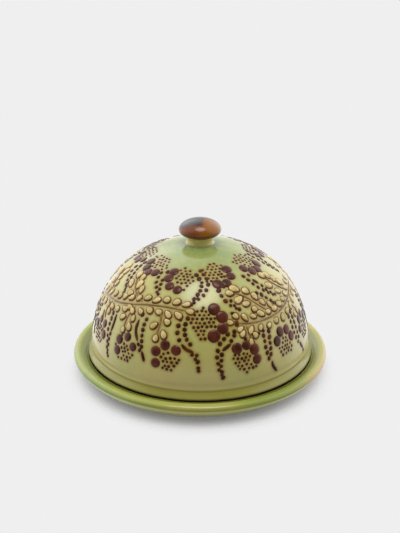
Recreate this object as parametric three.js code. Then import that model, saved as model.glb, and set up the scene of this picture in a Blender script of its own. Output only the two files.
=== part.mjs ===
// A covered butter dish in glazed stoneware: a round dish on a turned foot, a domed lid that
// sits on the ledge inside the dish's lip, and a mushroom knob luted to the top of the lid.
//
// Units are millimetres and +Z is up. The origin is the centre of the foot's resting face, on
// the axis that all three pieces were turned about.

import * as THREE from "three";

// Dish.
const DISH_RADIUS = 90; // widest part of the lip
const LIP_WIDEST_Z = 12.6;
const LIP_TOP_Z = 15.2;
const LIP_THICKNESS = 5.2;
const LIP_CREST = 3; // how far the top of the lip runs level before it slopes to the ledge
const LEDGE_Z = 12.8; // flat ledge that the lid rests on
const LEDGE_OUTER_RADIUS = 80.4;
const LEDGE_INNER_RADIUS = 72.5;
const FLOOR_Z = 8; // where the butter lies
const FLOOR_RADIUS = 67;
const WELL_RADIUS = 70.5; // the slope between ledge and floor is pulled towards this radius
const FOOT_RADIUS = 73.5;
const FOOT_WIDTH = 6;
const FOOT_RECESS = 2.6; // depth of the hollow inside the foot
const FOOT_EDGE = 0.8; // rounding of the foot's edges
const WALL_START_Z = 2; // where the outer wall leaves the foot
const BELLY_RADIUS = 84.6; // the outer wall is pulled out towards this radius and height
const BELLY_Z = 1.9;

// Lid shell. Its outside is one curve from the waist to the crown.
const WAIST_RADIUS = 76.6;
const WAIST_Z = 22;
const WAIST_FULLNESS = 16; // how far the curve runs straight up from the waist
const CROWN_FULLNESS = 64; // how far it runs level from the crown
const DOME_TOP_Z = 91.2;
const PAD_RADIUS = 11.4; // flat pad on the crown, where the knob is luted on
const LID_WALL = 5;
const SKIRT_RADIUS = 79.4; // widest part of the flared foot of the lid
const SKIRT_WIDEST_Z = 14.6;
const FLARE_RISE = 3.6; // height over which the foot's flare turns up into the waist
const SEAT_OUTER_RADIUS = 77.4; // flat ring that touches the ledge
const SEAT_INNER_RADIUS = 73.4;

// Knob.
const KNOB_FOOT_RADIUS = 10.6;
const NECK_RADIUS = 8.9;
const NECK_Z = 93.2;
const CAP_JOIN_Z = 94.6; // the neck runs straight up towards this height before it spreads
const CAP_RADIUS = 14.6;
const CAP_WIDEST_Z = 100.4;
const CAP_TOP_Z = 108;
const CAP_SHOULDER = 3.2; // how far the cap's top runs straight up from its widest part
const CAP_FULLNESS = 9.6; // how far it runs level from the axis
const CAP_UNDERSIDE_DEPTH = 6.4; // of the elliptical curve below the widest part
const CAP_UNDERSIDE_ANGLE = -0.85; // where that curve runs into the neck, radians

// Facets round the axis.
const DISH_TURNS = 56;
const KNOB_TURNS = 32;

const QUARTER = Math.PI / 2;

// Points of an elliptical arc between two angles in radians, ends included.
function arc(centre, radii, from, to, steps) {
  const points = [];
  for (let i = 0; i <= steps; i++) {
    const angle = from + ((to - from) * i) / steps;
    const r = centre[0] + radii[0] * Math.cos(angle);
    const z = centre[1] + radii[1] * Math.sin(angle);
    points.push([r, z]);
  }
  return points;
}

// Points of a quadratic curve from `start` to `end`, pulled towards `control`.
function bend(start, control, end, steps) {
  const curve = new THREE.QuadraticBezierCurve(
    new THREE.Vector2(...start),
    new THREE.Vector2(...control),
    new THREE.Vector2(...end),
  );
  return curve.getPoints(steps).map((point) => [point.x, point.y]);
}

// A curve that leaves `start` straight up and runs level into the axis at height `top`. `rise` and
// `level` say how full it is: how far it is pulled up from the start and out from the axis.
function crownCurve(start, rise, level, top) {
  return new THREE.CubicBezierCurve(
    new THREE.Vector2(start[0], start[1]),
    new THREE.Vector2(start[0], start[1] + rise),
    new THREE.Vector2(level, top),
    new THREE.Vector2(0, top),
  );
}

// Points from the start of a crown curve up to where it reaches `lastRadius`.
function crownPoints(curve, lastRadius, steps) {
  let low = 0;
  let high = 1;
  while (high - low > 1e-9) {
    const middle = (low + high) / 2;
    if (curve.getPoint(middle).x > lastRadius) {
      low = middle;
    } else {
      high = middle;
    }
  }
  const points = [];
  for (let i = 0; i <= steps; i++) {
    const point = curve.getPoint((high * i) / steps);
    points.push([point.x, point.y]);
  }
  return points;
}

// The dome from the waist to the crown, moved in by `inset`.
function dome(inset) {
  const waist = [WAIST_RADIUS - inset, WAIST_Z];
  return crownCurve(waist, WAIST_FULLNESS, CROWN_FULLNESS - inset, DOME_TOP_Z - inset);
}

// A solid turned about +Z. Its outline is given as (radius, z), anticlockwise, from the axis to
// the axis. Points that repeat the one before are dropped, and the ends are put on the axis.
function turned(name, outline, turns, material) {
  const profile = [];
  for (const [radius, z] of outline) {
    const last = profile[profile.length - 1];
    if (!last || Math.hypot(last.x - radius, last.y - z) > 1e-6) {
      profile.push(new THREE.Vector2(radius, z));
    }
  }
  profile[0].x = 0;
  profile[profile.length - 1].x = 0;
  const geometry = new THREE.LatheGeometry(profile, turns);
  geometry.rotateX(QUARTER); // LatheGeometry turns about +Y
  const mesh = new THREE.Mesh(geometry, material);
  mesh.name = name;
  return mesh;
}

function glaze(color, roughness) {
  return new THREE.MeshStandardMaterial({ color, roughness, metalness: 0 });
}

const outside = crownPoints(dome(0), PAD_RADIUS, 16);
const PAD_Z = outside[outside.length - 1][1];

function dish() {
  const footInner = FOOT_RADIUS - FOOT_WIDTH;
  const lipMiddle = DISH_RADIUS - LIP_THICKNESS / 2;
  const edge = [FOOT_EDGE, FOOT_EDGE];
  const ledgeEdge = [LEDGE_OUTER_RADIUS, LEDGE_Z];
  return turned(
    "dish",
    [
      [0, FOOT_RECESS],
      [footInner, FOOT_RECESS],
      ...arc([footInner + FOOT_EDGE, FOOT_EDGE], edge, 2 * QUARTER, 3 * QUARTER, 2),
      ...arc([FOOT_RADIUS - FOOT_EDGE, FOOT_EDGE], edge, -QUARTER, 0, 2),
      ...bend([FOOT_RADIUS, WALL_START_Z], [BELLY_RADIUS, BELLY_Z], [DISH_RADIUS, LIP_WIDEST_Z], 7),
      ...arc(
        [lipMiddle, LIP_WIDEST_Z],
        [LIP_THICKNESS / 2, LIP_TOP_Z - LIP_WIDEST_Z],
        0,
        QUARTER,
        4,
      ),
      ...bend([lipMiddle, LIP_TOP_Z], [lipMiddle - LIP_CREST, LIP_TOP_Z], ledgeEdge, 4),
      [LEDGE_INNER_RADIUS, LEDGE_Z],
      ...bend([LEDGE_INNER_RADIUS, LEDGE_Z], [WELL_RADIUS, FLOOR_Z], [FLOOR_RADIUS, FLOOR_Z], 3),
      [0, FLOOR_Z],
    ],
    DISH_TURNS,
    glaze(0xa3ab62, 0.18),
  );
}

function lidShell() {
  const skirtEdge = [SKIRT_RADIUS, SKIRT_WIDEST_Z];
  return turned(
    "lid_shell",
    [
      ...crownPoints(dome(LID_WALL), 0, 12).reverse(),
      [SEAT_INNER_RADIUS, LEDGE_Z],
      ...bend([SEAT_OUTER_RADIUS, LEDGE_Z], [SKIRT_RADIUS, LEDGE_Z + 0.3], skirtEdge, 3),
      ...bend(skirtEdge, [WAIST_RADIUS, SKIRT_WIDEST_Z + FLARE_RISE], [WAIST_RADIUS, WAIST_Z], 5),
      ...outside,
      [0, PAD_Z],
    ],
    DISH_TURNS,
    glaze(0xb9b77f, 0.15),
  );
}

function lidKnob() {
  const neck = [NECK_RADIUS, NECK_Z];
  const widest = [CAP_RADIUS, CAP_WIDEST_Z];
  const underside = arc(
    [0, CAP_WIDEST_Z],
    [CAP_RADIUS, CAP_UNDERSIDE_DEPTH],
    CAP_UNDERSIDE_ANGLE,
    0,
    5,
  );
  return turned(
    "lid_knob",
    [
      [0, PAD_Z],
      ...bend([KNOB_FOOT_RADIUS, PAD_Z], [NECK_RADIUS, PAD_Z + 0.6], neck, 3),
      ...bend(neck, [NECK_RADIUS, CAP_JOIN_Z], underside[0], 4),
      ...underside,
      ...crownPoints(crownCurve(widest, CAP_SHOULDER, CAP_FULLNESS, CAP_TOP_Z), 0, 9),
    ],
    KNOB_TURNS,
    glaze(0x7a4a26, 0.2),
  );
}

const butterDish = new THREE.Group();
const lid = new THREE.Group();
lid.add(lidShell(), lidKnob());
butterDish.add(dish(), lid);

export default butterDish;
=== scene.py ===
"""Looks of a covered butter dish in slip-trailed, green-glazed stoneware, around its CAD frame.

Lengths are metres. A place on the lid's dome is given as (azimuth, distance): the azimuth in
degrees from the front, positive towards +X, and the distance down the dome's surface from its
crown. A direction on the surface is in degrees clockwise from "up", towards the crown.
"""

import itertools
import math
import random

import bpy
import numpy as np
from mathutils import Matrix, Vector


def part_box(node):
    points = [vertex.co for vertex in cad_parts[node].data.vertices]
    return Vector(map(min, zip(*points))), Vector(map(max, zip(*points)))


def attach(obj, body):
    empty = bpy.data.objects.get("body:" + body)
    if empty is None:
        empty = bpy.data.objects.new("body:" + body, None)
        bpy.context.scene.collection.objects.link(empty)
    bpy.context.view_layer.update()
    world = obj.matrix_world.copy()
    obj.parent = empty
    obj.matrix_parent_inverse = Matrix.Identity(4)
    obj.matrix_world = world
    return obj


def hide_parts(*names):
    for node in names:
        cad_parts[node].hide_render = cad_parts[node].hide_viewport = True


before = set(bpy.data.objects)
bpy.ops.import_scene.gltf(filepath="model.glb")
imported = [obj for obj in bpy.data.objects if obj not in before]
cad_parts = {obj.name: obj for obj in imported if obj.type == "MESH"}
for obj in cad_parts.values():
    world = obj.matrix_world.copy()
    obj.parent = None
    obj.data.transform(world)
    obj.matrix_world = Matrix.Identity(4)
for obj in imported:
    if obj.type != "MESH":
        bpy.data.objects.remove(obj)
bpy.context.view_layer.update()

MM = 0.001

# ---------------------------------------------------------------- driving dimensions

DISH_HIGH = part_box("dish")[1]
LID_LOW, LID_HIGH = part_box("lid_shell")
KNOB_LOW, KNOB_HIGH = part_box("lid_knob")

DISH_RADIUS = DISH_HIGH.x
LIP_TOP = DISH_HIGH.z
LEDGE = LID_LOW.z
SKIRT_RADIUS = LID_HIGH.x
PAD_HEIGHT = KNOB_LOW.z
CAP_RADIUS = KNOB_HIGH.x
KNOB_TOP = KNOB_HIGH.z

# Dish.
FOOT_RADIUS = 73.5 * MM
FOOT_INNER = 67.5 * MM  # inner radius of the foot's ring
FOOT_RECESS = 2.6 * MM  # depth of the hollow inside the foot
FOOT_EDGE = 0.8 * MM  # rounding of the foot's edges
WALL_START = 2 * MM  # height where the outer wall leaves the foot
BELLY = (84.6 * MM, 1.9 * MM)  # the outer wall is pulled out towards this radius and height
LIP_WIDEST = 12.6 * MM
LIP_HALF = 2.6 * MM  # half the thickness of the lip
LIP_CREST = 3 * MM  # how far the top of the lip runs level before it slopes to the ledge
LEDGE_OUTER = 80.4 * MM
LEDGE_INNER = 72.5 * MM
WELL_RADIUS = 70.5 * MM  # the slope between ledge and floor is pulled towards this radius
FLOOR_RADIUS = 67 * MM  # where that slope meets the floor
FLOOR_HEIGHT = 8 * MM

# Lid.
WAIST_RADIUS = 76.6 * MM
WAIST_HEIGHT = 22 * MM
WAIST_FULLNESS = 16 * MM  # how far the dome's outline runs straight up from the waist
CROWN_FULLNESS = 64 * MM  # how far it runs level from the crown
DOME_TOP = 91.2 * MM
LID_WALL = 5 * MM
SKIRT_WIDEST = 14.6 * MM
FLARE_RISE = 3.6 * MM  # height over which the foot's flare turns up into the waist
SEAT_INNER = 73.4 * MM
SEAT_RADIUS = 77.4 * MM  # where the foot of the lid lifts off the ledge
SEAT_EDGE = 0.3 * MM  # the foot's lower edge is pulled out at this height above the ledge
SLIP_EDGE_HEIGHT = 19.4 * MM  # the pale slip ends here, above the lid's foot
SLIP_EDGE = 0.5 * MM  # height over which the slip rises to its full thickness
SLIP_COAT = 0.1 * MM  # thickness of that slip

# Knob.
KNOB_FOOT_RADIUS = 10.6 * MM
KNOB_FOOT_RISE = 0.6 * MM
NECK_RADIUS = 8.9 * MM
NECK_HEIGHT = 93.2 * MM
NECK_PULL = 94.6 * MM  # the neck runs straight up towards this height before it spreads
CAP_HEIGHT = 100.4 * MM  # widest part of the knob's cap
CAP_SHOULDER = 3.2 * MM  # how far the cap's top runs straight up from its widest part
CAP_FULLNESS = 9.6 * MM  # how far it runs level from the axis
CAP_UNDERSIDE = 6.4 * MM  # depth of the elliptical curve below the widest part
CAP_UNDERSIDE_ANGLE = -0.85  # where that curve runs into the neck, radians

# Meshes.
LID_AROUND = 450  # points round the axis
DISH_AROUND = 320
KNOB_AROUND = 128
DOME_SAMPLING = 0.25 * MM  # spacing of the points that the dome's surface is looked up from
DOME_SPACING = 0.8 * MM  # spacing of the lid's points down the dome

# Hand-thrown unevenness.
RIM_WAVE = 0.6 * MM  # how far the rim strays up and down
LID_WOBBLE = 0.1 * MM  # how far each wall strays inward from a true circle
DISH_WOBBLE = 0.15 * MM
KNOB_WOBBLE = 0.1 * MM
WOBBLE_LOBES = (2, 3, 5)
WOBBLE_TWIST = 40  # how fast the wobble turns with height, radians per metre

QUARTER = math.pi / 2
FRONT_TURNS = (0, 180)  # the front's decoration is repeated at the back


# ---------------------------------------------------------------- outlines

def arc(centre, radii, start, end, steps):
    """Points of an elliptical arc between two angles in radians."""
    points = []
    for angle in np.linspace(start, end, steps + 1):
        radius = centre[0] + radii[0] * math.cos(angle)
        height = centre[1] + radii[1] * math.sin(angle)
        points.append((radius, height))
    return points


def bend(start, control, end, steps):
    """Points of a quadratic curve from `start` to `end`, pulled towards `control`."""
    points = []
    for t in np.linspace(0, 1, steps + 1):
        weights = ((1 - t) ** 2, 2 * t * (1 - t), t * t)
        points.append(tuple(
            sum(w * p[k] for w, p in zip(weights, (start, control, end))) for k in (0, 1)
        ))
    return points


def at_height(radii, height):
    """Points at one height, at radii given in millimetres."""
    return [(radius * MM, height) for radius in radii]


def crown_curve(start, rise, level, top, steps):
    """An outline that leaves `start` straight up and runs level into the axis at `top`."""
    t = np.linspace(0, 1, steps + 1)[:, None]
    return (
        (1 - t) ** 3 * np.array(start)
        + 3 * (1 - t) ** 2 * t * np.array((start[0], start[1] + rise))
        + 3 * (1 - t) * t * t * np.array((level, top))
        + t ** 3 * np.array((0, top))
    )


def dome_curve(inset, steps):
    """The dome's outline from the waist to the crown, moved in by `inset`."""
    waist = (WAIST_RADIUS - inset, WAIST_HEIGHT)
    return crown_curve(waist, WAIST_FULLNESS, CROWN_FULLNESS - inset, DOME_TOP - inset, steps)


def eased(value, start, end):
    """0 up to `start` and 1 from `end` on, with a smooth step between them."""
    share = np.clip((value - start) / (end - start), 0, 1)
    return share * share * (3 - 2 * share)


def evenly(outline, spacing):
    """The same outline with points at an even spacing along it."""
    outline = np.array(outline)
    along = np.concatenate(([0], np.cumsum(np.hypot(*np.diff(outline, axis=0).T))))
    wanted = np.linspace(0, along[-1], max(2, round(along[-1] / spacing) + 1))
    return np.column_stack([np.interp(wanted, along, outline[:, k]) for k in (0, 1)])


# ---------------------------------------------------------------- the dome's surface

# The outline of the slip from the crown down to the waist, with the distance along it.
DOME = evenly(dome_curve(-SLIP_COAT, 400)[::-1], DOME_SAMPLING)
DOME_STEPS = np.hypot(*np.diff(DOME, axis=0).T)
DOME_ALONG = np.concatenate(([0], np.cumsum(DOME_STEPS)))
DOME_TANGENT = np.gradient(DOME, DOME_ALONG, axis=0)


def dome_radius(distance):
    """The dome's radius at a distance down from the crown."""
    return np.interp(distance, DOME_ALONG, DOME[:, 0])


def on_dome(azimuth, distance, lift):
    """Points `lift` above the slip on the dome. The azimuth is in radians here."""
    radius = dome_radius(distance)
    height = np.interp(distance, DOME_ALONG, DOME[:, 1])
    outward = -np.interp(distance, DOME_ALONG, DOME_TANGENT[:, 1])
    upward = np.interp(distance, DOME_ALONG, DOME_TANGENT[:, 0])
    radius = radius + lift * outward
    height = height + lift * upward
    return np.column_stack((radius * np.sin(azimuth), -radius * np.cos(azimuth), height))


def spot(place):
    """The point on the slip at a place."""
    return on_dome(np.radians([place[0]]), np.array([place[1]]), 0)[0]


def beside(place, right, down):
    """Places `right` and `down` of a place by these lengths on the dome."""
    distance = place[1] + down
    return np.radians(place[0]) + right / dome_radius(distance), distance


# ---------------------------------------------------------------- meshes

def make_piece(name, points, faces, material, body):
    """A mesh object that rides on a body, with one material."""
    mesh = bpy.data.meshes.new(name)
    mesh.from_pydata([tuple(p) for p in points], [], faces)
    mesh.validate()
    mesh.shade_smooth()
    mesh.materials.append(material)
    piece = bpy.data.objects.new(name, mesh)
    bpy.context.scene.collection.objects.link(piece)
    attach(piece, body)
    return piece


def rim_lift(azimuth, radius, height):
    """How far the hand-thrown rim, with the foot of the lid on it, strays from a level circle."""
    tilt = 0.7 * np.cos(azimuth + math.radians(45))
    ripple = 0.3 * np.cos(3 * azimuth + math.radians(20))
    outward = eased(radius, 62 * MM, 78 * MM)
    above_foot = eased(height, 3 * MM, 12 * MM)
    below_dome = 1 - eased(height, 16 * MM, 21 * MM)
    return RIM_WAVE * (tilt + ripple) * (outward * above_foot) * below_dome


def turned(name, outline, around, material, body, wobble, seed):
    """A pot thrown on a wheel: the outline turned about +Z, from the axis round to the axis.

    `wobble` is how far the hand-thrown wall strays inward from a true circle, and `seed`
    settles where it does."""
    outline = np.array(outline)
    rows = len(outline) - 2
    angles = np.arange(around) * 2 * math.pi / around
    chance = random.Random(seed)
    phases = [chance.uniform(0, 2 * math.pi) for _ in WOBBLE_LOBES]
    points = [(0, 0, outline[0][1])]
    for radius, height in outline[1:-1]:
        stray = sum(
            np.cos(lobes * angles + phase + height * WOBBLE_TWIST) / lobes
            for lobes, phase in zip(WOBBLE_LOBES, phases)
        )
        r = radius * (1 - wobble / DISH_RADIUS * (1 + stray / 2))
        z = height + rim_lift(angles, radius, height)
        points.extend(np.column_stack((r * np.sin(angles), -r * np.cos(angles), z)))
    points.append((0, 0, outline[-1][1]))
    faces = []
    for k in range(around):
        after = (k + 1) % around
        faces.append((0, 1 + after, 1 + k))
        for row in range(rows - 1):
            low = 1 + row * around
            high = low + around
            faces.append((low + k, low + after, high + after, high + k))
        last = 1 + (rows - 1) * around
        faces.append((last + k, last + after, len(points) - 1))
    return make_piece(name, points, faces, material, body)


class Slip:
    """Raised slip of one colour on the dome, gathered into one mesh."""

    # How far out each ring of a drop lies, and how high, as shares of its radius and height.
    # The last ring is sunk into the dome.
    DROP = (
        (0.35, 0.99),
        (0.62, 0.92),
        (0.8, 0.76),
        (0.92, 0.5),
        (1.0, 0.24),
        (1.08, 0.05),
        (1.18, -0.35),
    )

    def __init__(self):
        self.points = []  # one array for each drop or stroke
        self.faces = []
        self.marks = []  # x, y and z of the middle of each drop, and its radius

    def add(self, points, faces):
        first = sum(len(p) for p in self.points)
        self.points.append(points)
        self.faces.extend(tuple(first + k for k in face) for face in faces)

    def drop(self, place, length, width, height, turn=0.0, egg=0.0, around=14):
        """A drop of slip. `egg` makes the end that it points away from wider."""
        angle = np.arange(around) * 2 * math.pi / around
        reach = np.array([r for r, _ in self.DROP])[:, None]
        along = (reach * length / 2 * np.cos(angle)).ravel()
        across = (reach * width / 2 * np.sin(angle) * (1 - egg * np.cos(angle))).ravel()
        lift = np.repeat([h * height for _, h in self.DROP], around)
        along = np.append(along, 0)
        across = np.append(across, 0)
        lift = np.append(lift, height)
        turn = math.radians(turn)
        right = along * math.sin(turn) + across * math.cos(turn)
        down = -along * math.cos(turn) + across * math.sin(turn)
        azimuth, distance = beside(place, right, down)
        top = len(along) - 1
        faces = []
        for k in range(around):
            after = (k + 1) % around
            faces.append((top, k, after))
            for row in range(len(self.DROP) - 1):
                inner = row * around
                outer = inner + around
                faces.append((inner + k, outer + k, outer + after, inner + after))
        self.add(on_dome(azimuth, distance, lift), faces)
        self.mark(place, (length + width) / 4)

    def mark(self, place, radius):
        self.marks.append((*spot(place), radius))

    def stroke(self, path, width, height, taper=0.15):
        """A trail of slip along a path of places, thinning out over `taper` of each end."""
        places = smooth_path(path, STROKE_STEP)
        azimuth = np.radians(places[:, 0])
        distance = places[:, 1]
        radius = dome_radius(distance)
        heading = np.column_stack((np.gradient(azimuth) * radius, np.gradient(distance)))
        heading /= np.linalg.norm(heading, axis=1)[:, None]
        share = np.linspace(0, 1, len(places))
        fade = np.clip(np.minimum(share, 1 - share) / taper, 0, 1) ** 0.5
        section = [(-r, h) for r, h in reversed(self.DROP)] + [(0, 1)] + list(self.DROP)
        points = []
        for reach, lift in section:
            side = reach * width / 2 * np.maximum(fade, STROKE_END)
            points.append(on_dome(
                azimuth - heading[:, 1] * side / radius,
                distance + heading[:, 0] * side,
                np.where(fade > 0, lift * height * fade, STROKE_END_LIFT),
            ))
        count = len(places)
        faces = []
        for row in range(len(section) - 1):
            for k in range(count - 1):
                low = row * count + k
                faces.append((low, low + 1, low + count + 1, low + count))
        self.add(np.concatenate(points), faces)
        for place, thickness in zip(places[::2], fade[::2]):
            self.mark(place, width / 2 * thickness)

    def piece(self, name, material):
        points = np.concatenate(self.points)
        return make_piece(name, points, self.faces, material, "lid")


def smooth_path(path, spacing):
    """Places at an even spacing along a smooth curve through the given ones."""
    path = np.array(path, float)
    ends = np.vstack((2 * path[0] - path[1], path, 2 * path[-1] - path[-2]))
    t = np.linspace(0, 1, 20, endpoint=False)[:, None]
    curve = []
    for a, b, c, d in zip(ends, ends[1:], ends[2:], ends[3:]):
        curve.append(0.5 * (
            2 * b
            + (c - a) * t
            + (2 * a - 5 * b + 4 * c - d) * t ** 2
            + (3 * b - a - 3 * c + d) * t ** 3
        ))
    curve = np.vstack(curve + [path[-1:]])
    steps = np.diff(curve, axis=0)
    middles = (curve[1:, 1] + curve[:-1, 1]) / 2
    lengths = np.hypot(np.radians(steps[:, 0]) * dome_radius(middles), steps[:, 1])
    along = np.concatenate(([0], np.cumsum(lengths)))
    wanted = np.linspace(0, along[-1], max(3, round(along[-1] / spacing) + 1))
    return np.column_stack([np.interp(wanted, along, curve[:, k]) for k in (0, 1)])


# ---------------------------------------------------------------- decoration

# Roundels: place of the centre in degrees and mm, the direction that the arc of large dots
# faces, the angle between them, and the size of the whole against a common one.
ROUNDELS = (
    ((5, 74), 93, 46, 1.15),
    ((-17, 97), -37, 58, 0.95),
    ((23, 98), 35, 50, 0.98),
    ((-41, 98), -25, 62, 0.9),
    ((49, 97), 5, 50, 0.95),
    ((-66, 97), 10, 58, 0.9),
    ((72, 97), -15, 50, 0.92),
    ((-88, 98), 0, 56, 0.9),
    ((-17, 45), -115, 44, 0.98),
    ((17, 41), 131, 44, 1.0),
    ((57, 38), 186, 42, 1.0),
    ((-50, 38), 205, 42, 0.98),
    ((-84, 38), 180, 44, 0.9),
)

# Leafy sprigs: the stem from its base to its tip.
SPRIGS = (
    ((-88, 79), (-72, 75), (-58, 73), (-45, 69.5), (-33, 66.5), (-20, 65.5), (-6, 67)),
    ((-24, 68), (-22.5, 75), (-23.5, 86)),
    ((-42, 70), (-44.5, 78), (-45, 87)),
    ((-38, 66), (-46, 62.5), (-52, 58), (-57, 50)),
    ((88, 69), (76, 71), (64, 74.5), (52, 77), (40, 78), (28, 77.5), (17, 75)),
    ((46, 76), (40, 70), (34, 63), (28, 58), (21, 56)),
    ((74, 71), (67, 66), (61, 59), (57, 51)),
    ((26, 79), (27, 84), (27, 89)),
    ((-64, 75), (-66, 82), (-64, 88)),
    ((64, 75), (67, 80), (70, 85)),
    ((-70, 74), (-76, 68), (-80, 60), (-80, 52)),
    ((-88, 80), (-84, 84), (-82, 90)),
)

# Hanging strings of beads: two rows, which close up towards the end.
STRINGS = (
    ((-2, 38), (2, 43), (4, 48), (1, 55), (-4, 60), (-6, 66)),
    ((-35, 41), (-34.5, 48), (-32, 54), (-29, 60)),
    ((41, 44), (44, 50), (47, 56), (51, 62), (57, 68)),
    ((-70, 42), (-68, 49), (-64, 56), (-58, 65)),
    ((80, 33), (79, 42), (80, 50), (84, 60)),
    ((16, 51), (17, 57), (19, 62), (24, 68)),
    ((-9, 71), (-10, 78), (-9, 84), (-5, 90), (-2, 96), (-0.7, 104)),
    ((17, 82), (13, 87), (10.5, 91), (9.5, 97), (9.5, 102), (11, 109)),
    ((-33, 72), (-33.5, 80), (-33, 86), (-32, 92), (-28, 102)),
    ((37, 82), (37, 88), (36.5, 96), (37, 104), (40, 113)),
    ((-56, 79), (-55.5, 88), (-55, 98), (-53, 109)),
    ((60, 82), (60, 90), (60.5, 98), (62, 104), (66, 112)),
    ((-77, 80), (-77, 90), (-76, 99), (-74, 106)),
    ((83, 78), (83, 88), (84, 98), (87, 107)),
    ((19, 78), (24, 84), (31, 86), (37, 84)),
    ((40, 62), (45, 66), (52, 71)),
)

# Trails of solid slip where beads have run together.
TRAILS = (
    ((-9.5, 87.5), (-7, 90.5), (-3, 92.5)),
    ((16, 88), (13.5, 90), (11, 92)),
    ((-36, 77), (-36.2, 84), (-33.5, 91)),
    ((-30.2, 96), (-28, 102.5)),
    ((45, 50.5), (48, 55)),
    ((37.5, 105), (38.2, 109), (40.5, 113.5)),
    ((-54, 80), (-53.6, 87), (-54, 93)),
    ((62, 104), (64, 108), (66, 110.5)),
    ((18, 69), (22, 70.5)),
)

ROUNDEL_RADIUS = 8 * MM  # distance from its centre to the large dots' centres
ARC_STEPS = (-1.5, -0.5, 0.5, 1.5)  # the large dots' places along their arc
LARGE_DOT = 6.2 * MM
LARGE_DOT_HEIGHT = 0.55 * MM
PATCH_SHARE = 1.25  # radius of the patch of small dots, as a share of the arc's radius
SMALL_DOT = 1.7 * MM
SMALL_DOT_HEIGHT = 0.25 * MM
SMALL_DOT_GAP = 2.85 * MM
SMALL_DOT_STRAY = 0.25 * MM
ROW_SHARE = 0.87  # distance between rows of small dots, as a share of the gap within a row
CLEARANCE = 0.52  # from a large dot's centre to a small one's, as a share of both widths
BEAD = 2.7 * MM
BEAD_HEIGHT = 0.35 * MM
BEAD_PITCH = 3.8 * MM
BEAD_STRAY = 0.2 * MM
ROW_GAP = 4.2 * MM  # between the two rows of a bead string
TRAIL = 2.0 * MM
TRAIL_HEIGHT = 0.4 * MM
STROKE_STEP = 0.7 * MM  # between points along a trail or stem
STROKE_END = 0.1  # width of its very end, as a share of the full width
STROKE_END_LIFT = -0.1 * MM  # that end is sunk into the dome
STEM = 1.0 * MM
STEM_HEIGHT = 0.4 * MM
LEAF_LENGTH = 5.0 * MM
LEAF_WIDTH = 3.35 * MM
LEAF_HEIGHT = 0.7 * MM
LEAF_EDGE = 1.05 * MM  # how much longer and wider the brown drop under a leaf is
LEAF_EDGE_HEIGHT = 0.3 * MM
LEAF_EDGE_DROP = 0.3 * MM  # how far that drop is set down, which thickens its lower edge
LEAF_PITCH = 6.7 * MM
LEAF_REACH = 3.9 * MM  # from the stem to the middle of a leaf
LEAF_TILT = 38  # a common angle from the stem, degrees
LARGE_LEAF = 1.22  # size of the leaves near the crown against the common one
LEAF_SHRINK = 0.3  # how much less it is further down
LEAF_SHRINK_SPAN = (50 * MM, 72 * MM)  # distances from the crown that it shrinks between
CROWDED = 0.86  # drops may come this close, as a share of their radii together

chance = random.Random(7)
large_dots = Slip()
small_dots = Slip()
beads = Slip()
leaves = Slip()
leaf_outlines = Slip()
stems = Slip()


def is_free(place, radius, slips):
    """Whether a drop put at a place would keep clear of those already put down in some slips."""
    middle = spot(place)
    marks = [mark for slip in slips for mark in slip.marks]
    if not marks:
        return True
    marks = np.array(marks)
    gaps = np.linalg.norm(marks[:, :3] - middle, axis=1)
    return bool(np.all(gaps > (marks[:, 3] + radius) * CROWDED))


def in_metres(path, turn):
    """A path from the lists above with its distances in metres, turned round the pot."""
    return [(azimuth + turn, distance * MM) for azimuth, distance in path]


def roundel(centre, facing, spread, size):
    """An arc of four large dots round one side of a patch of small ones."""
    ring = ROUNDEL_RADIUS * size
    large = []
    for step in ARC_STEPS:
        angle = math.radians(facing + step * spread)
        reach = ring * chance.uniform(0.96, 1.08)
        large.append((reach * math.sin(angle), -reach * math.cos(angle)))
    for right, down in large:
        azimuth, distance = beside(centre, right, down)
        width = LARGE_DOT * size * chance.uniform(0.92, 1.06)
        place = (math.degrees(azimuth), distance)
        length = width * chance.uniform(1, 1.06)
        turn = chance.uniform(0, 180)
        large_dots.drop(place, length, width, LARGE_DOT_HEIGHT, turn, around=28)
    patch = ring * PATCH_SHARE
    rows = int(patch / SMALL_DOT_GAP) + 1
    for row in range(-rows, rows + 1):
        for column in range(-rows, rows + 1):
            shift = row % 2 / 2
            right = (column + shift) * SMALL_DOT_GAP + chance.gauss(0, SMALL_DOT_STRAY)
            down = row * SMALL_DOT_GAP * ROW_SHARE + chance.gauss(0, SMALL_DOT_STRAY)
            width = SMALL_DOT * chance.uniform(0.8, 1.15)
            if math.hypot(right, down) > patch:
                continue
            nearest = min(math.hypot(right - a, down - b) for a, b in large)
            if nearest < (LARGE_DOT * size + SMALL_DOT) * CLEARANCE:
                continue
            azimuth, distance = beside(centre, right, down)
            place = (math.degrees(azimuth), distance)
            small_dots.drop(place, width, width, SMALL_DOT_HEIGHT, around=12)


def ahead_of(places, k):
    """The direction of a path at its point k, as (right, down) of length 1."""
    before = places[max(k - 1, 0)]
    after = places[min(k + 1, len(places) - 1)]
    right = math.radians(after[0] - before[0]) * dome_radius(places[k][1])
    down = after[1] - before[1]
    length = math.hypot(right, down)
    return right / length, down / length


def beside_path(places, k, side):
    """The place `side` to the right of a path at its point k."""
    right, down = ahead_of(places, k)
    azimuth, distance = beside(places[k], -down * side, right * side)
    return math.degrees(azimuth), distance


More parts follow.
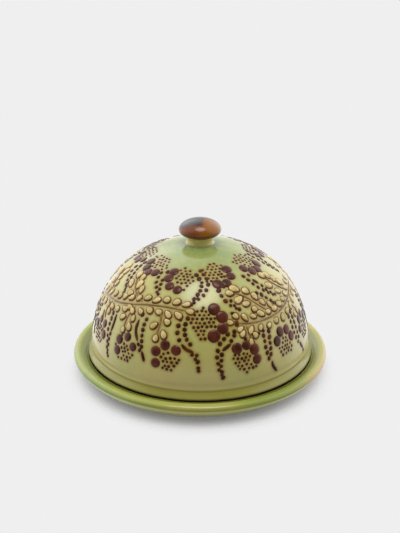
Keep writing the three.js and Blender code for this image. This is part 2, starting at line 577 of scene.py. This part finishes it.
def bead_string(path):
    """Two rows of beads along a path, closing up to one row at its end."""
    places = smooth_path(path, BEAD_PITCH / 2)
    last = len(places) - 1
    for k in range(last + 1):
        share = k / last
        gap = ROW_GAP / 2 * min(1, 1.6 * (1 - share)) * (1 if k % 2 else -1)
        place = beside_path(places, k, gap + chance.gauss(0, BEAD_STRAY))
        width = BEAD * chance.uniform(0.85, 1.1) * (1 - 0.2 * share)
        length = width * chance.uniform(1, 1.3)
        if is_free(place, width / 2, (large_dots, leaves, beads)):
            beads.drop(place, length, width, BEAD_HEIGHT, chance.uniform(-60, 60))


def leaf(place, turn, size):
    """A cream drop on a slightly larger brown one, which shows round it as an outline."""
    length = LEAF_LENGTH * size * chance.uniform(0.82, 1.16)
    width = LEAF_WIDTH * size * chance.uniform(0.88, 1.14)
    if not is_free(place, (length + width) / 4, (leaves, large_dots)):
        return
    leaves.drop(place, length, width, LEAF_HEIGHT, turn, egg=0.25, around=24)
    azimuth, distance = beside(place, chance.uniform(0, 0.4) * MM, LEAF_EDGE_DROP)
    under = (math.degrees(azimuth), distance)
    length += LEAF_EDGE
    width += LEAF_EDGE
    leaf_outlines.drop(under, length, width, LEAF_EDGE_HEIGHT, turn, egg=0.2, around=24)


def sprig(path):
    """A stem with leaves on both sides, which lean towards its tip."""
    stems.stroke(path, STEM, STEM_HEIGHT)
    places = smooth_path(path, LEAF_PITCH / 2)
    last = len(places) - 1
    for k in range(1, last + 1):
        side = 1 if k % 2 else -1
        reach = LEAF_REACH * side * (chance.uniform(0.85, 1.2) if k < last else 0)
        right, down = ahead_of(places, k)
        heading = math.degrees(math.atan2(right, -down))
        lean = LEAF_TILT * chance.uniform(0.2, 1.7) if k < last else 0
        turn = heading + side * lean
        size = LARGE_LEAF - LEAF_SHRINK * eased(places[k][1], *LEAF_SHRINK_SPAN)
        leaf(beside_path(places, k, reach), turn + 180, size)


def decorate():
    """Puts all the slip on the dome, bead strings after the dots and leaves they keep clear of."""
    for turn in FRONT_TURNS:
        for centre, facing, spread, size in ROUNDELS:
            roundel(in_metres([centre], turn)[0], facing, spread, size)
        for path in SPRIGS:
            sprig(in_metres(path, turn))
        for path in TRAILS:
            beads.stroke(in_metres(path, turn), TRAIL, TRAIL_HEIGHT, taper=0.25)
        for path in STRINGS:
            bead_string(in_metres(path, turn))


# ---------------------------------------------------------------- materials

def srgb(red, green, blue):
    """A colour given as 0-255 display values, as the linear one that shaders take."""
    values = [c / 255 for c in (red, green, blue)]
    return [c / 12.92 if c <= 0.04045 else ((c + 0.055) / 1.055) ** 2.4 for c in values] + [1]


RAMP_SOCKETS = ("From Min", "From Max", "To Min", "To Max")

# A Mix node has sockets of the same names for each type of data. These are its colour ones.
MIX_COLOUR_A = 6
MIX_COLOUR_B = 7
MIX_COLOUR_RESULT = 2


class Shader:
    """A Principled material that is built node by node."""

    def __init__(self, name, **values):
        """`values` are the shader's own settings, with _ for a space in a socket's name."""
        self.material = bpy.data.materials.new(name)
        self.material.use_nodes = True
        self.nodes = self.material.node_tree.nodes
        self.links = self.material.node_tree.links
        self.surface = self.nodes["Principled BSDF"]
        for socket, value in values.items():
            self.surface.inputs[socket.replace("_", " ")].default_value = value
        self.coords = self.nodes.new("ShaderNodeTexCoord").outputs["Object"]

    def set(self, socket, source):
        self.links.new(source, self.surface.inputs[socket])

    def plug(self, node, socket, value):
        if isinstance(value, bpy.types.NodeSocket):
            self.links.new(value, node.inputs[socket])
        else:
            node.inputs[socket].default_value = value

    def noise(self, scale, detail, rough=0.5, stretch=None):
        node = self.nodes.new("ShaderNodeTexNoise")
        node.inputs["Scale"].default_value = scale
        node.inputs["Detail"].default_value = detail
        node.inputs["Roughness"].default_value = rough
        source = self.coords
        if stretch:
            mapping = self.nodes.new("ShaderNodeMapping")
            mapping.inputs["Scale"].default_value = stretch
            self.links.new(self.coords, mapping.inputs["Vector"])
            source = mapping.outputs["Vector"]
        self.links.new(source, node.inputs["Vector"])
        return node.outputs["Fac"]

    def specks(self, scale, radius):
        """1 in small scattered specks and 0 between them."""
        node = self.nodes.new("ShaderNodeTexVoronoi")
        node.inputs["Scale"].default_value = scale
        self.links.new(self.coords, node.inputs["Vector"])
        return self.ramp(node.outputs["Distance"], radius, 0)

    def ramp(self, source, start, end, low=0.0, high=1.0):
        """`low` where the source is at `start`, easing to `high` where it is at `end`."""
        node = self.nodes.new("ShaderNodeMapRange")
        node.interpolation_type = "SMOOTHSTEP"
        self.links.new(source, node.inputs["Value"])
        for socket, value in zip(RAMP_SOCKETS, (start, end, low, high)):
            node.inputs[socket].default_value = value
        return node.outputs["Result"]

    def math(self, operation, first, second):
        node = self.nodes.new("ShaderNodeMath")
        node.operation = operation
        self.plug(node, 0, first)
        self.plug(node, 1, second)
        return node.outputs["Value"]

    def mix(self, share, first, second):
        node = self.nodes.new("ShaderNodeMix")
        node.data_type = "RGBA"
        self.plug(node, 0, share)
        self.plug(node, MIX_COLOUR_A, first)
        self.plug(node, MIX_COLOUR_B, second)
        return node.outputs[MIX_COLOUR_RESULT]

    def axis(self, name):
        node = self.nodes.new("ShaderNodeSeparateXYZ")
        self.links.new(self.coords, node.inputs["Vector"])
        return node.outputs[name]

    def radius(self):
        """Distance from the axis of the pot."""
        flat = self.nodes.new("ShaderNodeVectorMath")
        flat.operation = "MULTIPLY"
        flat.inputs[1].default_value = (1, 1, 0)
        self.links.new(self.coords, flat.inputs[0])
        length = self.nodes.new("ShaderNodeVectorMath")
        length.operation = "LENGTH"
        self.links.new(flat.outputs["Vector"], length.inputs[0])
        return length.outputs["Value"]

    def towards(self, azimuth, spread):
        """1 on the side of the pot at this azimuth, easing to 0 `spread` either way, in degrees."""
        node = self.nodes.new("ShaderNodeVectorMath")
        node.operation = "DOT_PRODUCT"
        angle = math.radians(azimuth)
        node.inputs[1].default_value = (math.sin(angle), -math.cos(angle), 0)
        self.links.new(self.coords, node.inputs[0])
        lean = self.math("DIVIDE", node.outputs["Value"], self.radius())
        return self.ramp(lean, math.cos(math.radians(spread)), 1)

    def painted(self, name):
        """A value that is stored on the mesh's points."""
        node = self.nodes.new("ShaderNodeAttribute")
        node.attribute_name = name
        return node.outputs["Fac"]

    def bump(self, height, distance, strength):
        node = self.nodes.new("ShaderNodeBump")
        node.inputs["Distance"].default_value = distance
        node.inputs["Strength"].default_value = strength
        self.links.new(height, node.inputs["Height"])
        self.set("Normal", node.outputs["Normal"])


SHADED_BARE_CLAY = srgb(34, 26, 10)  # where the lid stands on the ledge neither has any glaze; this clay is painted near-black as the shade in the gap between lid and dish
SHEEN_TINT = (1, 0.92, 0.78, 1)  # linear; glazed slip looks paler where it is seen edge on
BLOOM_RISE = 105  # cap radii towards the back that a metre of height counts as in the bloom


def lid_glaze():
    """Green glaze over pale slip on the dome, and over bare clay on its foot."""
    shader = Shader(
        "lid_glaze",
        IOR=1.45,
        Coat_Weight=0.3,
        Coat_Roughness=0.11,
        Sheen_Weight=0.6,
        Sheen_Roughness=0.3,
        Sheen_Tint=SHEEN_TINT,
    )
    cloud = shader.noise(28, 4)
    fine = shader.noise(220, 4, 0.6)
    up = shader.axis("Z")

    # The dome: warmer low down, green at the crown, in clouds, and stained round the raised slip.
    height = shader.math("ADD", shader.axis("Z"), shader.math("MULTIPLY", cloud, 20 * MM))
    rise = shader.ramp(height, 30 * MM, 75 * MM)
    colour = shader.mix(rise, srgb(176, 164, 98), srgb(174, 170, 96))
    crown = shader.ramp(height, 83 * MM, 102 * MM)
    colour = shader.mix(crown, colour, srgb(118, 140, 76))
    colour = shader.mix(shader.ramp(cloud, 0.45, 0.7, 0, 0.45), colour, srgb(150, 160, 80))
    colour = shader.mix(shader.ramp(fine, 0.35, 0.75, 0, 0.25), colour, srgb(192, 174, 108))
    patchy = shader.ramp(fine, 0.2, 0.6, 0.6, 1.0)
    stain = shader.math("MULTIPLY", shader.painted("stain"), patchy)
    colour = shader.mix(stain, colour, srgb(140, 108, 42))

    # The foot: olive, darker towards the ledge and in a thin line just under the slip's edge.
    level = shader.math("ADD", shader.axis("Z"), shader.math("MULTIPLY", cloud, 0.8 * MM))
    foot = shader.ramp(level, SLIP_EDGE_HEIGHT + 1.4 * MM, SLIP_EDGE_HEIGHT - 0.2 * MM)
    olive = shader.mix(cloud, srgb(138, 132, 54), srgb(156, 150, 68))
    low = shader.ramp(up, 16.5 * MM, 13.5 * MM, 0, 0.7)
    olive = shader.mix(low, olive, srgb(112, 108, 48))
    colour = shader.mix(foot, colour, olive)
    under_edge = shader.ramp(level, SLIP_EDGE_HEIGHT - 0.5 * MM, SLIP_EDGE_HEIGHT)
    edge_line = shader.math("MULTIPLY", shader.math("MULTIPLY", foot, under_edge), 0.35)
    colour = shader.mix(edge_line, colour, srgb(96, 84, 34))

    colour = shader.mix(shader.specks(160, 0.06), colour, srgb(80, 60, 30))
    # painted shade: the lid's lowest edge is bare clay painted near-black, as the shade in the gap
    # on the ledge
    seat = shader.ramp(up, LEDGE + 1.4 * MM, LEDGE + 0.9 * MM)
    colour = shader.mix(seat, colour, SHADED_BARE_CLAY)
    shader.set("Base Color", colour)
    shader.set("Roughness", shader.ramp(fine, 0.3, 0.8, 0.08, 0.2))
    rings = shader.noise(4, 2, 0.5, stretch=(1, 1, 60))
    relief = shader.math("ADD", shader.math("MULTIPLY", fine, 0.25), rings)
    shader.bump(relief, 0.4 * MM, 0.3)
    return shader.material


def dish_glaze():
    """The same glaze, greener on the left and breaking to tan on the right and on the lip."""
    shader = Shader("dish_glaze", IOR=1.42, Coat_Weight=0.15, Coat_Roughness=0.07)
    cloud = shader.noise(22, 4)
    fine = shader.noise(200, 4, 0.6)
    across = shader.math("ADD", shader.axis("X"), shader.math("MULTIPLY", cloud, 60 * MM))
    up = shader.axis("Z")
    out = shader.radius()

    # The glaze from left to right, in clouds.
    middle = shader.ramp(across, -50 * MM, 30 * MM)
    colour = shader.mix(middle, srgb(98, 132, 44), srgb(146, 144, 54))
    right = shader.ramp(across, 60 * MM, 115 * MM)
    colour = shader.mix(right, colour, srgb(172, 162, 104))
    colour = shader.mix(shader.ramp(cloud, 0.4, 0.7, 0, 0.6), colour, srgb(134, 142, 62))
    colour = shader.mix(shader.ramp(fine, 0.4, 0.75, 0, 0.3), colour, srgb(164, 162, 88))

    # The lip: paler on top, tan at the right where the glaze runs thin over the edge.
    crest = shader.ramp(up, LIP_TOP - 1.6 * MM, LIP_TOP, 0, 0.4)
    colour = shader.mix(crest, colour, srgb(180, 172, 96))
    edge = shader.ramp(out, DISH_RADIUS - 1.4 * MM, DISH_RADIUS - 0.3 * MM)
    tan = shader.math("MULTIPLY", edge, shader.ramp(across, 75 * MM, 115 * MM))
    colour = shader.mix(tan, colour, srgb(190, 140, 84))
    colour = shader.mix(shader.specks(95, 0.07), colour, srgb(70, 58, 26))

    # Darker towards one side, painted shade on the slope inside the lip next to the lid's foot, a
    # painted reflection that lightens the top of the wall below the lip, and painted shade that
    # darkens the wall towards its foot.
    darker_side = shader.math("MULTIPLY", shader.towards(34, 26), 0.8)
    colour = shader.mix(darker_side, colour, srgb(116, 132, 48))
    # painted shade: the slope next to the lid's foot is darkened
    slope_shade = shader.ramp(out, LEDGE_OUTER + 6 * MM, LEDGE_OUTER + 3 * MM, 0, 0.75)
    colour = shader.mix(slope_shade, colour, srgb(112, 116, 42))
    # painted reflection: the top of the wall below the lip is lightened
    wall = shader.ramp(up, LIP_WIDEST + 0.2 * MM, LIP_WIDEST - 0.8 * MM)
    high = shader.math("MULTIPLY", wall, shader.ramp(up, 8.5 * MM, 10.5 * MM, 0, 0.75))
    colour = shader.mix(high, colour, srgb(204, 196, 118))
    # painted shade: the wall darkens towards the floor it stands on
    low = shader.ramp(up, 9.5 * MM, 2 * MM, 0, 0.8)
    colour = shader.mix(low, colour, srgb(96, 94, 22))

    # Bare clay on the ledge, painted near-black as the shade in the gap under the lid's foot.
    under_lid = shader.ramp(out, SKIRT_RADIUS + 0.8 * MM, SKIRT_RADIUS + 0.2 * MM)
    on_ledge = shader.ramp(up, LEDGE - 1.2 * MM, LEDGE - 0.8 * MM)
    seat = shader.math("MULTIPLY", under_lid, on_ledge)
    colour = shader.mix(seat, colour, SHADED_BARE_CLAY)
    shader.set("Base Color", colour)
    shader.set("Roughness", shader.ramp(fine, 0.3, 0.8, 0.1, 0.22))
    shader.bump(shader.math("ADD", shader.noise(60, 2), fine), 0.3 * MM, 0.3)
    return shader.material


def knob_glaze():
    """Iron-brown glaze on the cap, with a slate-grey bloom on one side, over green on the neck."""
    shader = Shader("knob_glaze", IOR=1.2, Coat_Weight=0.85, Coat_Roughness=0.12, Coat_IOR=1.45)
    cloud = shader.noise(110, 4, 0.6)
    fine = shader.noise(500, 3, 0.6)
    up = shader.axis("Z")
    across = shader.math("MULTIPLY", shader.axis("X"), 1 / CAP_RADIUS)
    back = shader.math("MULTIPLY", shader.axis("Y"), 1 / CAP_RADIUS)
    stray = shader.math("MULTIPLY", cloud, 0.5)

    # Brown, turning to amber on the right and dark at the back.
    right = shader.math("SUBTRACT", across, shader.math("MULTIPLY", back, 0.35))
    amber = shader.ramp(shader.math("ADD", right, stray), 0.2, 0.95)
    colour = shader.mix(amber, srgb(112, 54, 14), srgb(138, 82, 0))
    dark = shader.ramp(shader.math("ADD", back, stray), 0.0, 0.4, 0, 0.85)
    colour = shader.mix(dark, colour, srgb(60, 26, 8))

    # The bloom lies left of the middle and above a line that drops towards the back.
    rise = shader.math("MULTIPLY", shader.math("SUBTRACT", up, CAP_HEIGHT), BLOOM_RISE)
    left = shader.math("MULTIPLY", across, -1)
    bloom = shader.math("MINIMUM", shader.math("ADD", back, rise), left)
    bloom = shader.math("ADD", bloom, stray)
    char = shader.ramp(bloom, 0.02, 0.24, 0, 0.85)
    bloom = shader.ramp(bloom, 0.22, 0.42)
    colour = shader.mix(char, colour, srgb(36, 20, 16))
    slate = shader.mix(shader.ramp(fine, 0.35, 0.65), srgb(10, 12, 14), srgb(38, 42, 44))
    colour = shader.mix(bloom, colour, slate)

    # Darker under the cap, then green on the neck.
    under = shader.ramp(up, CAP_HEIGHT, CAP_HEIGHT - 2 * MM, 0, 0.85)
    colour = shader.mix(under, colour, srgb(96, 40, 12))
    green = shader.mix(cloud, srgb(196, 184, 98), srgb(214, 202, 118))
    height = shader.math("ADD", up, shader.math("MULTIPLY", cloud, 1 * MM))
    foot = shader.ramp(height, PAD_HEIGHT + 1.8 * MM, PAD_HEIGHT + 0.8 * MM)
    green = shader.mix(foot, green, srgb(176, 172, 112))
    cap = shader.ramp(height, CAP_HEIGHT - 4.2 * MM, CAP_HEIGHT - 3.4 * MM)
    colour = shader.mix(cap, green, colour)
    shader.set("Base Color", colour)
    shader.set("Roughness", shader.ramp(fine, 0.3, 0.8, 0.18, 0.3))
    shader.bump(fine, 0.2 * MM, 0.25)
    return shader.material


def slip_glaze(name, dark, light, scale, gloss):
    """Glaze over raised slip, darker and lighter in patches.

    `scale` is how fine the patches are, and `gloss` is the glaze's index of refraction."""
    shader = Shader(
        name, IOR=gloss, Sheen_Weight=0.6, Sheen_Roughness=0.35, Sheen_Tint=SHEEN_TINT
    )
    cloud = shader.noise(scale, 3, 0.6)
    fine = shader.noise(700, 3, 0.6)
    colour = shader.mix(shader.ramp(cloud, 0.35, 0.68), dark, light)
    shader.set("Base Color", colour)
    shader.set("Roughness", shader.ramp(fine, 0.3, 0.8, 0.06, 0.16))
    shader.bump(fine, 0.1 * MM, 0.3)
    return shader.material


# ---------------------------------------------------------------- pieces

def lid_outline():
    """From the axis down the inside, out along the ledge, and up the outside to the crown."""
    inside = dome_curve(LID_WALL, 50)[::-1]
    seat = [(SEAT_INNER, LEDGE), (SEAT_RADIUS, LEDGE)]
    skirt_edge = (SKIRT_RADIUS, SKIRT_WIDEST)
    waist = (WAIST_RADIUS, WAIST_HEIGHT)
    skirt = bend(seat[1], (SKIRT_RADIUS, LEDGE + SEAT_EDGE), skirt_edge, 10)
    flare = bend(skirt[-1], (WAIST_RADIUS, SKIRT_WIDEST + FLARE_RISE), waist, 16)
    flare = [point for point in flare if point[1] < SLIP_EDGE_HEIGHT]
    step = [(flare[-1][0] + SLIP_COAT, SLIP_EDGE_HEIGHT + SLIP_EDGE)]
    outside = evenly(np.vstack((step, DOME[::-1][1:])), DOME_SPACING)
    return np.vstack((inside, seat, skirt[1:], flare[1:], outside))


def dish_outline():
    """From the axis out under the dish, up its wall, over the lip, and in across the floor."""
    edge = (FOOT_EDGE, FOOT_EDGE)
    recess_corner = (FOOT_INNER - FOOT_EDGE, FOOT_RECESS - FOOT_EDGE)
    foot_inside = (FOOT_INNER + FOOT_EDGE, FOOT_EDGE)
    foot_outside = (FOOT_RADIUS - FOOT_EDGE, FOOT_EDGE)
    lip = DISH_RADIUS - LIP_HALF
    lip_radii = (LIP_HALF, LIP_TOP - LIP_WIDEST)
    floor_edge = (FLOOR_RADIUS, FLOOR_HEIGHT)
    return (
        at_height((0, 30, 60, 66.4), FOOT_RECESS)
        + arc(recess_corner, edge, QUARTER, 0, 4)
        + arc(foot_inside, edge, 2 * QUARTER, 3 * QUARTER, 5)
        + arc(foot_outside, edge, -QUARTER, 0, 5)
        + bend((FOOT_RADIUS, WALL_START), BELLY, (DISH_RADIUS, LIP_WIDEST), 24)
        + arc((lip, LIP_WIDEST), lip_radii, 0, QUARTER, 12)[1:]
        + bend((lip, LIP_TOP), (lip - LIP_CREST, LIP_TOP), (LEDGE_OUTER, LEDGE), 16)[1:]
        + at_height((79.2, 78, 76, 74), LEDGE)
        + bend((LEDGE_INNER, LEDGE), (WELL_RADIUS, FLOOR_HEIGHT), floor_edge, 10)
        + at_height((60, 50, 40, 30, 20, 10, 0), FLOOR_HEIGHT)
    )


def knob_outline():
    """From the axis out along the pad, up the neck, and round the cap to its top."""
    foot = (KNOB_FOOT_RADIUS, PAD_HEIGHT)
    neck = (NECK_RADIUS, NECK_HEIGHT)
    widest = (CAP_RADIUS, CAP_HEIGHT)
    underside_radii = (CAP_RADIUS, CAP_UNDERSIDE)
    underside = arc((0, CAP_HEIGHT), underside_radii, CAP_UNDERSIDE_ANGLE, 0, 20)
    top = crown_curve(widest, CAP_SHOULDER, CAP_FULLNESS, KNOB_TOP, 40)
    return (
        [(0, PAD_HEIGHT)]
        + bend(foot, (NECK_RADIUS, PAD_HEIGHT + KNOB_FOOT_RISE), neck, 14)
        + bend(neck, (NECK_RADIUS, NECK_PULL), underside[0], 10)[1:]
        + underside[1:]
        + [tuple(point) for point in top[1:]]
    )


def stain_lid(lid, slips):
    """Stores how near each point of the lid is to raised slip, from 1 down to 0.

    The points are gathered into a grid of cubes first, so that only near ones are measured."""
    fade = 2.0 * MM
    cell = 4 * MM
    mesh = lid.data
    points = np.empty(len(mesh.vertices) * 3)
    mesh.vertices.foreach_get("co", points)
    points = points.reshape(-1, 3)
    stain = np.zeros(len(points))
    grid = {}
    for index, key in enumerate(map(tuple, (points // cell).astype(int))):
        grid.setdefault(key, []).append(index)
    for slip in slips:
        for x, y, z, radius in slip.marks:
            centre = np.array((x, y, z))
            low = ((centre - radius - fade) // cell).astype(int)
            high = ((centre + radius + fade) // cell).astype(int)
            near = []
            cells = itertools.product(*(range(a, b + 1) for a, b in zip(low, high)))
            for key in cells:
                near.extend(grid.get(key, ()))
            if not near:
                continue
            gap = np.linalg.norm(points[near] - centre, axis=1) - radius
            share = np.clip(1 - gap / fade, 0, 1) ** 1.5
            stain[near] = np.maximum(stain[near], share)
    layer = mesh.attributes.new("stain", "FLOAT", "POINT")
    layer.data.foreach_set("value", stain.astype(np.float32))


def build_pieces():
    decorate()
    lid = turned(
        "thrown_lid", lid_outline(), LID_AROUND, lid_glaze(), "lid", LID_WOBBLE, seed=3
    )
    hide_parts("lid_shell")
    stain_lid(lid, (small_dots, beads, leaf_outlines, stems, large_dots))
    dish = turned(
        "thrown_dish", dish_outline(), DISH_AROUND, dish_glaze(), "dish",
        DISH_WOBBLE, seed=5,
    )
    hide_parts("dish")
    knob = turned(
        "thrown_knob", knob_outline(), KNOB_AROUND, knob_glaze(), "lid",
        KNOB_WOBBLE, seed=9,
    )
    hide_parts("lid_knob")
    brown = slip_glaze("brown_slip", srgb(56, 21, 5), srgb(90, 40, 22), 120, 1.3)
    small_brown = slip_glaze("small_brown_slip", srgb(48, 24, 0), srgb(80, 44, 4), 200, 1.2)
    outline_brown = slip_glaze("outline_slip", srgb(74, 42, 12), srgb(108, 68, 26), 200, 1.25)
    cream = slip_glaze("cream_slip", srgb(178, 158, 90), srgb(208, 188, 128), 200, 1.38)
    tan = slip_glaze("tan_slip", srgb(112, 80, 36), srgb(148, 114, 60), 200, 1.3)
    large_dots.piece("large_dots", brown)
    small_dots.piece("small_dots", small_brown)
    beads.piece("bead_strings", small_brown)
    leaves.piece("leaves", cream)
    leaf_outlines.piece("leaf_outlines", outline_brown)
    stems.piece("stems", tan)


# ---------------------------------------------------------------- stage

CAMERA_ELEVATION = 23.3  # of the camera, seen from a point on the axis at AIM_HEIGHT, degrees
CAMERA_DISTANCE = 0.5327  # from that point
CAMERA_PITCH = 21.5  # how far down the camera looks, degrees
CAMERA_LENS = 51.3  # focal length in millimetres, for a sensor of this width
SENSOR_WIDTH = 36
CLIP_START = 0.01
AIM_HEIGHT = 0.055
BACKDROP = srgb(239, 239, 239)
FLOOR_COLOUR = srgb(183, 182, 184)
FLOOR_GLOW = 0.16
WALL_DIRECTION = (-0.45, 0.89, 0)  # the walls are brightest this way, at the back left
WALL_GLOW = (0.15, 1.15)  # of the walls where they are dimmest and where they are brightest
TABLE_GLOW = (0.6, 0.3)  # added below the horizon, at the front and at the back
CEILING_SHARE = 0.5  # glow of the ceiling, as a share of the walls'
DISC_RADIUS = 0.13
DISC_FADE = (0.1, 0.077)  # the disc is clear outside the first radius, solid inside the second

# Soft lights: azimuth, elevation, the angles from the middle at which the light starts to fade
# and has faded out, and the strength. The angles are in degrees.
SOFTBOXES = (
    (7, 77, 9, 23, 6.4),
    (-25, 60, 8, 50, 0.5),
    (110, 28, 10, 64, 1.75),
    (-110, 34, 10, 64, 1.15),
    (-155, 40, 8, 30, 1.3),
)


def add_camera():
    data = bpy.data.cameras.new("camera")
    data.lens = CAMERA_LENS
    data.sensor_width = SENSOR_WIDTH
    data.clip_start = CLIP_START
    camera = bpy.data.objects.new("camera", data)
    elevation = math.radians(CAMERA_ELEVATION)
    camera.location = (
        0,
        -CAMERA_DISTANCE * math.cos(elevation),
        AIM_HEIGHT + CAMERA_DISTANCE * math.sin(elevation),
    )
    camera.rotation_euler = (QUARTER - math.radians(CAMERA_PITCH), 0, 0)
    bpy.context.scene.collection.objects.link(camera)
    bpy.context.scene.camera = camera


def add_floor():
    """A pale disc that holds the shadow and fades into the surroundings all round it."""
    bpy.ops.mesh.primitive_circle_add(vertices=96, radius=DISC_RADIUS, fill_type="TRIFAN")
    floor = bpy.context.object
    floor.name = "floor"
    shader = Shader("floor", Base_Color=FLOOR_COLOUR, Roughness=0.9, Emission_Strength=FLOOR_GLOW)
    shader.surface.inputs["Emission Color"].default_value = (1, 1, 1, 1)
    share = shader.ramp(shader.radius(), *DISC_FADE)
    clear = shader.nodes.new("ShaderNodeBsdfTransparent")
    mixed = shader.nodes.new("ShaderNodeMixShader")
    shader.links.new(share, mixed.inputs[0])
    shader.links.new(clear.outputs[0], mixed.inputs[1])
    shader.links.new(shader.surface.outputs[0], mixed.inputs[2])
    shader.links.new(mixed.outputs[0], shader.nodes["Material Output"].inputs["Surface"])
    floor.data.materials.append(shader.material)


class Surroundings:
    """A studio as a world: dim in front, bright at the back left, with soft-edged lights."""

    def __init__(self):
        self.world = bpy.data.worlds.new("surroundings")
        bpy.context.scene.world = self.world
        self.world.use_nodes = True
        self.nodes = self.world.node_tree.nodes
        self.links = self.world.node_tree.links
        self.nodes.clear()
        self.view = self.nodes.new("ShaderNodeTexCoord").outputs["Generated"]
        walls = self.facing(WALL_DIRECTION, -0.5, 0.9, *WALL_GLOW)
        above = self.facing((0, 0, 1), 0.3, 0.8, 1, CEILING_SHARE)
        table = self.facing((0, 1, 0), -0.9, 0.1, *TABLE_GLOW)
        below = self.facing((0, 0, -1), -0.05, 0.15, 0, 1)
        upper = self.combine("MULTIPLY", walls, above)
        lower = self.combine("MULTIPLY", table, below)
        self.strength = self.combine("ADD", upper, lower)

    def facing(self, direction, start, end, low, high):
        """`low` where a view leans less than `start` towards a direction, up to `high` at `end`."""
        lean = self.nodes.new("ShaderNodeVectorMath")
        lean.operation = "DOT_PRODUCT"
        lean.inputs[1].default_value = direction
        self.links.new(self.view, lean.inputs[0])
        ramp = self.nodes.new("ShaderNodeMapRange")
        ramp.interpolation_type = "SMOOTHSTEP"
        self.links.new(lean.outputs["Value"], ramp.inputs["Value"])
        for socket, value in zip(RAMP_SOCKETS, (start, end, low, high)):
            ramp.inputs[socket].default_value = value
        return ramp.outputs["Result"]

    def combine(self, operation, first, second):
        node = self.nodes.new("ShaderNodeMath")
        node.operation = operation
        self.links.new(first, node.inputs[0])
        self.links.new(second, node.inputs[1])
        return node.outputs["Value"]

    def softbox(self, azimuth, elevation, inner, outer, strength):
        """A round light that fades out between two angles from its middle, all in degrees."""
        azimuth = math.radians(azimuth)
        elevation = math.radians(elevation)
        direction = (
            math.cos(elevation) * math.sin(azimuth),
            -math.cos(elevation) * math.cos(azimuth),
            math.sin(elevation),
        )
        edge = math.cos(math.radians(outer))
        full = math.cos(math.radians(inner))
        light = self.facing(direction, edge, full, 0, strength)
        self.strength = self.combine("ADD", self.strength, light)

    def finish(self):
        """Lights the scene, and shows the camera an even backdrop."""
        lit = self.nodes.new("ShaderNodeBackground")
        self.links.new(self.strength, lit.inputs["Strength"])
        seen = self.nodes.new("ShaderNodeBackground")
        seen.inputs["Color"].default_value = BACKDROP
        path = self.nodes.new("ShaderNodeLightPath")
        mixed = self.nodes.new("ShaderNodeMixShader")
        self.links.new(path.outputs["Is Camera Ray"], mixed.inputs[0])
        self.links.new(lit.outputs[0], mixed.inputs[1])
        self.links.new(seen.outputs[0], mixed.inputs[2])
        output = self.nodes.new("ShaderNodeOutputWorld")
        self.links.new(mixed.outputs[0], output.inputs["Surface"])


bpy.context.scene.view_settings.view_transform = "Standard"
add_camera()
build_pieces()
add_floor()
surroundings = Surroundings()
for softbox in SOFTBOXES:
    surroundings.softbox(*softbox)
surroundings.finish()
